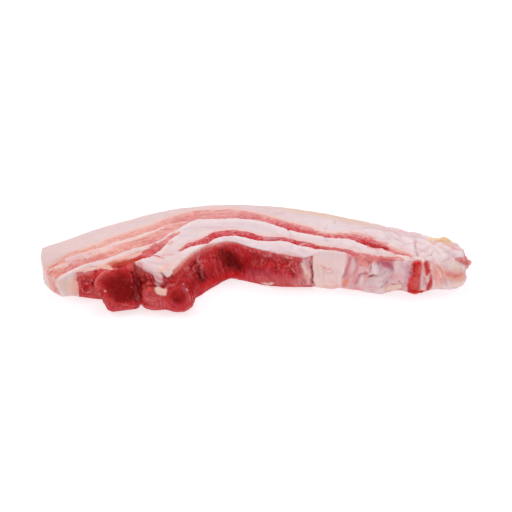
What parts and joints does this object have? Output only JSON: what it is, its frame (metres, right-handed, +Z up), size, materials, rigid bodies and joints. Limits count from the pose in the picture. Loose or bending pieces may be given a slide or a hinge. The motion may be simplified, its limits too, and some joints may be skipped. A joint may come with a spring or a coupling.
{
  "type": "pork belly slab",
  "caption": "Thick strip of raw pork belly, bent in an arc, lying on its cut face, with bands of fat and lean between rind and rib side.",
  "frame": {"origin": "middle of the base, on the surface the slice lies on", "axes": "+X along the slice, from one end to the other; +Y towards the rind edge; +Z up through the thickness"},
  "size_m": [0.2776, 0.0936, 0.025],
  "materials": {
    "raw_belly": "moist satin"
  },
  "bodies": {
    "root": {"pork_belly_slab": "raw_belly"}
  },
  "joints": []
}
